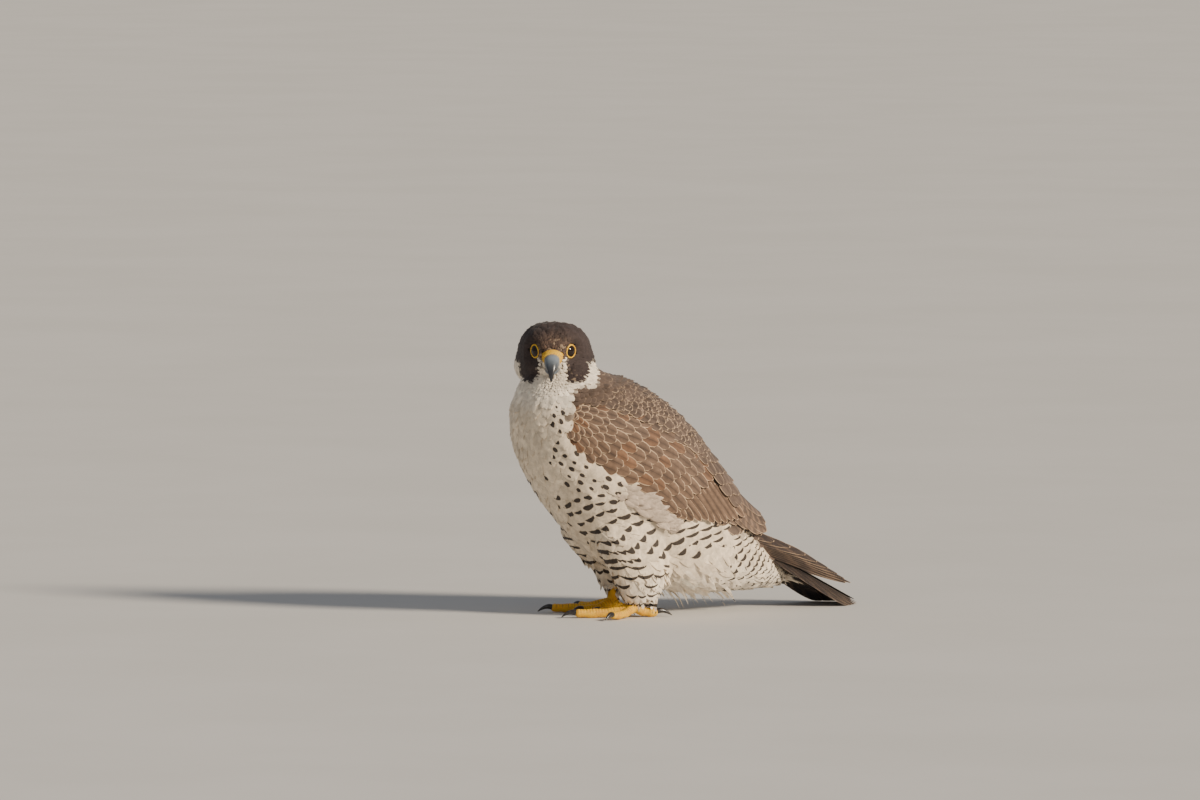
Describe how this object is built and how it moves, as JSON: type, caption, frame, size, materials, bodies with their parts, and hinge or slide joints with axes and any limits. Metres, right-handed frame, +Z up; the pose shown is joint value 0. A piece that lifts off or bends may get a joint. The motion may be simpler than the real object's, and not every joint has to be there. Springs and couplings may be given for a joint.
{
  "type": "peregrine falcon figure, life size, standing",
  "caption": "Life-size still model of a peregrine falcon standing on level ground with folded wings, its head turned to its left and its tail tip resting on the ground.",
  "frame": {"origin": "the point on the ground below the middle of the bounding box", "axes": "+Y towards the tail, so that the bird heads along -Y; +X towards the bird's own left; +Z up from the ground"},
  "size_m": [0.1308, 0.3392, 0.2572],
  "materials": {
    "feather_dark": "matte dark brown feathers",
    "feather_white": "matte cream feathers with dark bars",
    "feather_brown": "matte brown feathers with pale fringes",
    "feather_flight": "matte dark brown flight feathers",
    "bare_yellow": "satin yellow scaled skin",
    "bill_horn": "polished blue-grey horn",
    "claw_black": "polished black horn",
    "eye_dark": "wet dark brown eye"
  },
  "bodies": {
    "root": {"head": "feather_dark", "neck": "feather_white", "torso": "feather_white", "undertail_coverts": "feather_white", "wing_left_coverts": "feather_brown", "wing_left_secondaries": "feather_flight", "wing_left_primaries": "feather_flight", "wing_right_coverts": "feather_brown", "wing_right_secondaries": "feather_flight", "wing_right_primaries": "feather_flight", "tail": "feather_flight", "thigh_left": "feather_white", "thigh_right": "feather_white", "foot_left": "bare_yellow", "foot_right": "bare_yellow", "claw_left_inner": "claw_black", "claw_left_middle": "claw_black", "claw_left_outer": "claw_black", "claw_left_hind": "claw_black", "claw_right_inner": "claw_black", "claw_right_middle": "claw_black", "claw_right_outer": "claw_black", "claw_right_hind": "claw_black", "cere": "bare_yellow", "bill_upper": "bill_horn", "bill_lower": "bill_horn", "eye_left": "eye_dark", "eye_right": "eye_dark", "eyelid_left": "bare_yellow", "eyelid_right": "bare_yellow"}
  },
  "joints": []
}
